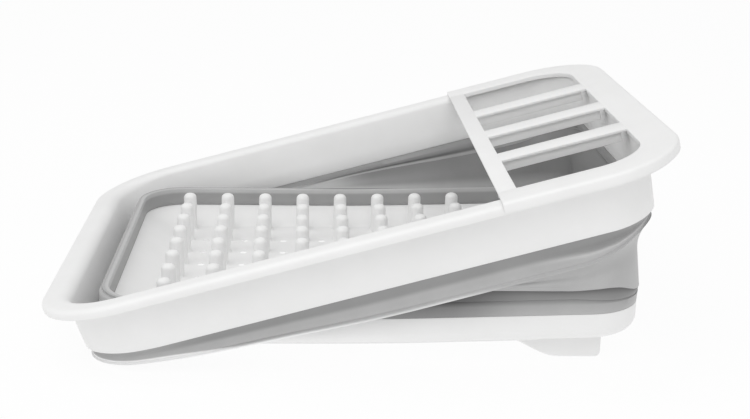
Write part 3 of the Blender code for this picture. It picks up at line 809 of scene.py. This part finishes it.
def crest_line(outset_lying, drop_lying, outset_standing, rise_standing, share_behind):
    """A line near the crest: lying, rolled over the crest, or behind the rack on the way to the lip."""
    outset = outset_lying + (outset_standing * (1 - drawn) - outset_lying) * standing
    lying = crest_level - drop_lying
    upright_level = roll_level + corner_rise * drawn - end_roll_drop * drawn ** 6
    upright_level += rise_standing * (1 - 0.8 * drawn ** 2)
    rolled = tray_loop(-outset, lying + (upright_level - lying) * standing)
    straight = crest_end + (panel_top - crest_end) * share_behind
    return rolled + (straight - rolled) * flat_behind[:, None]


def curve(start, control, end, steps):
    """Lines along a quadratic curve between two lines of points, without the first."""
    shares = np.linspace(0, 1, steps + 1)[1:]
    return [start * (1 - s) ** 2 + control * 2 * s * (1 - s) + end * s ** 2 for s in shares]


neck = crest_line(0.4 * mm, 2 * mm, -0.65 * mm, 2.2 * mm, 0.06)
neck_turn = crest_line(0.6 * mm, 2.4 * mm, 0.7 * mm, 7.2 * mm, 0.11)
neck_out = crest_line(1.0 * mm, 2.8 * mm, 2.2 * mm, 1.1 * mm, 0.16)
roll_turn = crest_line(1.6 * mm, 3.4 * mm, 3.0 * mm, -0.8 * mm, 0.23)
knee = crest_line(1.7 * mm, 4.4 * mm, 4.3 * mm, 2.4 * mm, 0.3)
straight_fold = knee + (panel_top - knee) * 2 / 3
drawn_line = frame_loop(drawn_fold_inset, drawn_fold_depth)
bent_fold = straight_fold + (drawn_line - straight_fold) * drawn[:, None]
below_fold = bent_fold + (knee - bent_fold) * fold_round_share
above_fold = bent_fold + (panel_top - bent_fold) * 2 * fold_round_share
panel_lines = [crest_end]
panel_lines += curve(crest_end, (crest_end + neck) / 2, neck, neck_rows)
panel_lines += curve(neck, neck_turn, neck_out, roll_out_rows)
panel_lines += curve(neck_out, roll_turn, knee, roll_rows)
panel_lines += curve(knee, (knee + below_fold) / 2, below_fold, face_rows)
panel_lines += curve(below_fold, bent_fold, above_fold, fold_rows)
panel_lines += curve(above_fold, (above_fold + panel_top) / 2, panel_top, lip_end_rows)
panel_grid = np.array(panel_lines)
panel_shares = np.linspace(0, 1, len(panel_lines))
outward = np.column_stack((tray_rays, np.zeros(len(tray_rays))))
for row in range(face_rows + 1):
    swell = math.sin(math.pi * row / face_rows) ** 2
    bulge = panel_bulge * swell * standing * (1 - drawn) * (1 - behind)
    panel_grid[knee_row + row] += outward * bulge[:, None]

row_run = np.gradient(panel_grid, axis=0)
loop_run = np.roll(panel_grid, -1, axis=1) - np.roll(panel_grid, 1, axis=1)
panel_normals = np.cross(loop_run, row_run)
panel_normals /= np.linalg.norm(panel_normals, axis=2)[:, :, None]
panel_outer = panel_grid + panel_normals * panel_thickness / 2
panel_inner = panel_grid - panel_normals * panel_thickness / 2

# Painted shade: the outer face is darkened in the gap under the roll where the band stands, and the inner
# face is darkened where the panel climbs to the lip.
rows = np.arange(len(panel_lines))[:, None]
outer_shade = shade_top + (gap_shade - shade_top) * smooth_share(rows, 0, gap_fade_rows)
outer_shade = outer_shade * (rows < gap_rows) * standing
inner_shade = 0.1 + 0.4 * smooth_share(rows, 2, 20) + 0.16 * (1 - raised) * smooth_share(rows, 24, 44)
climb = panel_top[:, 2] - knee[:, 2]
inner_shade *= smooth_share(climb, 0.5 * mm, 8 * mm)

split_share = 0.5 + (tray_x - tray_middle.x) / (2 * tray_half_x)
split_share = np.clip(split_share, split_least, 1 - split_least)


def resample(grid, at_shares):
    """The grid's rows read at new shares, which may differ from point to point."""
    result = np.empty((len(at_shares), *grid.shape[1:]))
    columns = np.arange(grid.shape[1])
    for row, wanted in enumerate(at_shares):
        above = np.clip(np.searchsorted(panel_shares, wanted), 1, len(panel_shares) - 1)
        low = panel_shares[above - 1]
        weight = ((wanted - low) / (panel_shares[above] - low))[:, None]
        result[row] = grid[above - 1, columns] * (1 - weight) + grid[above, columns] * weight
    return result


panel_parts = (
    ("wall_middle_lower", np.zeros(len(split_share)), split_share, ("base", "flexible_wall")),
    ("wall_middle_upper", split_share, np.ones(len(split_share)), ("flexible_wall", "frame")),
)
for name, start, end, bodies in panel_parts:
    steps = np.linspace(0, 1, split_rows)
    shares = [start + (end - start) * step for step in steps]
    outer = resample(panel_outer, shares)
    inner = resample(panel_inner, shares)
    panel_mesh = mesh_from_loops(name, list(outer) + list(inner[::-1]), closed=True)
    outer_tones = resample(outer_shade[:, :, None], shares)[:, :, 0]
    inner_tones = resample(inner_shade[:, :, None], shares)[:, :, 0]
    mark(panel_mesh, "painted_shade", list(outer_tones) + list(inner_tones[::-1]))
    panel = place_piece(name, panel_mesh, wall_grey, sharp_degrees=60)
    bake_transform(panel)
    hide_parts("wall_middle_band")

# The cutlery rest is a third injection moulding in white polypropylene, which hooks over the flange at the
# raised end and lifts off. It is a flat horseshoe with a turned-down edge, closed by a crossbar.
rest_reach = 106.1 * mm
rest_left = frame_half_x - rest_reach
rest_top = 1.8 * mm
rest_outset = 1.5 * mm
rest_drop = 4.3 * mm
rest_margin = 20 * mm
rest_fin = 1.2 * mm
rest_fin_thickness = 1.5 * mm
rest_gap = 0.3 * mm
rest_edge = (2.4 * mm, 2.0 * mm)
rest_inner_edge = (0.6 * mm, 0.6 * mm)
rest_sharp_degrees = 35
crossbar_width = 10.6 * mm
crossbar_let_in = 0.6 * mm
crossbar_round = 0.35 * mm
crossbar_let_down = 0.02 * mm
white_rest_plastic = satin_white("white_rest_plastic")


def leaned_box(name, low, high, round_edges):
    """A box given in the frame's own plane, with rounded edges where asked."""
    box = bmesh.new()
    bmesh.ops.create_cube(box, size=1)
    bmesh.ops.scale(box, vec=Vector(high) - Vector(low), verts=box.verts)
    bmesh.ops.translate(box, vec=(Vector(high) + Vector(low)) / 2, verts=box.verts)
    if round_edges:
        bmesh.ops.bevel(
            box, geom=box.edges, offset=round_edges, offset_type="OFFSET", segments=2,
            profile=0.5, affect="EDGES",
        )
    bmesh.ops.transform(box, matrix=lean_back, verts=box.verts)
    bmesh.ops.recalc_face_normals(box, faces=box.faces)
    mesh = bpy.data.meshes.new(name)
    box.to_mesh(mesh)
    box.free()
    return mesh


rest_profile = [(-rest_outset + 0.2 * mm, rest_drop), (-rest_outset, rest_drop - 0.4 * mm)]
rest_profile += arc((rest_edge[0] - rest_outset, rest_edge[1] - rest_top), rest_edge, 180, 270, 7)
rest_profile += arc((rest_margin - 0.6 * mm, 0.6 * mm - rest_top), rest_inner_edge, 270, 360, 3)
rest_profile += [
    (rest_margin, rest_fin),
    (rest_margin - rest_fin_thickness, rest_fin),
    (rest_margin - rest_fin_thickness, -rest_gap),
    (1.5 * mm, -rest_gap),
    (-rest_gap, 0.8 * mm),
    (-rest_gap, rest_drop),
]
rest_mesh = mesh_from_loops("rest_rim", [frame_loop(*point) for point in rest_profile], closed=True)
rest_rim = place_piece("rest_rim", rest_mesh, white_rest_plastic, rest_sharp_degrees)
far = frame_half_x + frame_half_y
cut_away(rest_rim, leaned_box("cut", (-far, -far, -far), (rest_left, far, far), 0))
smooth_over(rest_rim.data, rest_sharp_degrees)
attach(rest_rim, "cutlery_rest")
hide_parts("cutlery_rest_rim")

crossbar_half = frame_half_y - rest_margin + crossbar_let_in
crossbar_mesh = leaned_box(
    "rest_crossbar",
    (rest_left, -crossbar_half, rest_gap),
    (rest_left + crossbar_width, crossbar_half, rest_top - crossbar_let_down),
    crossbar_round,
)
crossbar = place_piece("rest_crossbar", crossbar_mesh, white_rest_plastic, sharp_degrees=40)
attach(crossbar, "cutlery_rest")

# Three bars part the slots for the cutlery, moulded in one with the rest. Each is a flat top with a box
# rib under it. The rib has rounded edges and ends just short of the rim.
bar_width = 17.6 * mm
bar_thickness = 1.8 * mm
bar_round = 0.4 * mm
bar_let_in = 0.4 * mm
bar_let_down = 0.03 * mm
bar_pitch = 61.5 * mm
bar_count = 3
rib_width = 13.6 * mm
rib_drop = 6 * mm
rib_round = 0.8 * mm
rib_longer = 2 * mm
rib_end_in = 3.5 * mm
bar_start = rest_left + crossbar_width - bar_let_in
bar_end = frame_half_x - rest_margin + bar_let_in
bar_underside = rest_top - bar_thickness
for index in range(bar_count):
    y = (index - (bar_count - 1) / 2) * bar_pitch
    name = f"cutlery_rest_bar_{index + 1}"
    top = leaned_box(
        name,
        (bar_start, y - bar_width / 2, bar_underside),
        (bar_end, y + bar_width / 2, rest_top - bar_let_down),
        bar_round,
    )
    rib = leaned_box(
        name,
        (bar_start - rib_longer, y - rib_width / 2, bar_underside - rib_drop),
        (bar_end - rib_end_in, y + rib_width / 2, rest_top - 1 * mm),
        rib_round,
    )
    bar_mesh = join_meshes(name, (top, rib))
    bar = place_piece(f"slot_bar_{index + 1}", bar_mesh, white_rest_plastic, sharp_degrees=40)
    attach(bar, "cutlery_rest")
    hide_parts(name)

# The rack stands on a plain white table under an even white sky, with one broad soft lamp above the left
# front. The table and the sky are plain white to the camera, and the table keeps a faint shadow.
table_size = 4
table_white = (0.9, 0.9, 0.9, 1)
table_plain_seen = 0.93
table_plain_lit = 0.9
sky_light = 0.68
lamp_width = 2.2
lamp_length = 2.0
lamp_power = 14
lamp_place = (-0.35, -0.75, 1.45)
lamp_target = Vector((0, 0, 0.06))
table_mesh = bpy.data.meshes.new("table")
table_corners = [(x * table_size, y * table_size, 0) for x, y in ((-1, -1), (1, -1), (1, 1), (-1, 1))]
table_mesh.from_pydata(table_corners, [], [(0, 1, 2, 3)])
table = bpy.data.objects.new("table", table_mesh)
bpy.context.scene.collection.objects.link(table)
table_finish = bpy.data.materials.new("table_white")
table_finish.use_nodes = True
tree = table_finish.node_tree
tree.nodes.clear()
output = tree.nodes.new("ShaderNodeOutputMaterial")
path = tree.nodes.new("ShaderNodeLightPath")
matt = tree.nodes.new("ShaderNodeBsdfDiffuse")
matt.inputs["Color"].default_value = table_white
glow = tree.nodes.new("ShaderNodeEmission")
glow.inputs["Color"].default_value = (1, 1, 1, 1)
seen = tree.nodes.new("ShaderNodeMixShader")
seen.inputs["Fac"].default_value = table_plain_seen
lit = tree.nodes.new("ShaderNodeMixShader")
lit.inputs["Fac"].default_value = table_plain_lit
choose = tree.nodes.new("ShaderNodeMixShader")
tree.links.new(matt.outputs["BSDF"], seen.inputs[1])
tree.links.new(glow.outputs["Emission"], seen.inputs[2])
tree.links.new(matt.outputs["BSDF"], lit.inputs[1])
tree.links.new(glow.outputs["Emission"], lit.inputs[2])
tree.links.new(path.outputs["Is Camera Ray"], choose.inputs["Fac"])
tree.links.new(lit.outputs["Shader"], choose.inputs[1])
tree.links.new(seen.outputs["Shader"], choose.inputs[2])
tree.links.new(choose.outputs["Shader"], output.inputs["Surface"])
table_mesh.materials.append(table_finish)
table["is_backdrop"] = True

sky = bpy.data.worlds.new("white_sky")
sky.use_nodes = True
bpy.context.scene.world = sky
tree = sky.node_tree
background = tree.nodes["Background"]
background.inputs["Color"].default_value = (1, 1, 1, 1)
path = tree.nodes.new("ShaderNodeLightPath")
strength = tree.nodes.new("ShaderNodeMix")
strength.inputs["A"].default_value = sky_light
strength.inputs["B"].default_value = 1
tree.links.new(path.outputs["Is Camera Ray"], strength.inputs["Factor"])
tree.links.new(strength.outputs["Result"], background.inputs["Strength"])

lamp_data = bpy.data.lights.new("soft_lamp", "AREA")
lamp_data.shape = "RECTANGLE"
lamp_data.size = lamp_width
lamp_data.size_y = lamp_length
lamp_data.energy = lamp_power
lamp = bpy.data.objects.new("soft_lamp", lamp_data)
lamp.location = lamp_place
lamp.rotation_mode = "QUATERNION"
lamp.rotation_quaternion = (lamp_target - lamp.location).to_track_quat("-Z", "Y")
bpy.context.scene.collection.objects.link(lamp)

# The camera stands low in front of the rack, as in the photograph, with a long lens. It looks down and a
# little to the right, and is rolled slightly.
photo_width = 750
focal_pixels = 1371.8
camera_x = -30.73 * mm
camera_y = -847.98 * mm
camera_z = 301.1 * mm
yaw = math.radians(3.052)
pitch = math.radians(15.949)
roll = math.radians(-1.335)
forward = Vector((math.sin(yaw) * math.cos(pitch), math.cos(yaw) * math.cos(pitch), -math.sin(pitch)))
level = Vector((math.cos(yaw), -math.sin(yaw), 0))
down = forward.cross(level)
right = level * math.cos(roll) + down * math.sin(roll)
down = forward.cross(right)
camera_data = bpy.data.cameras.new("camera")
camera_data.sensor_width = 36
camera_data.lens = focal_pixels / photo_width * camera_data.sensor_width
camera_data.clip_start = 0.01
camera = bpy.data.objects.new("camera", camera_data)
camera.matrix_world = Matrix((
    (right.x, -down.x, -forward.x, camera_x),
    (right.y, -down.y, -forward.y, camera_y),
    (right.z, -down.z, -forward.z, camera_z),
    (0, 0, 0, 1),
))
bpy.context.scene.collection.objects.link(camera)
bpy.context.scene.camera = camera
bpy.context.scene.view_settings.view_transform = "Standard"

low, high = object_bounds()
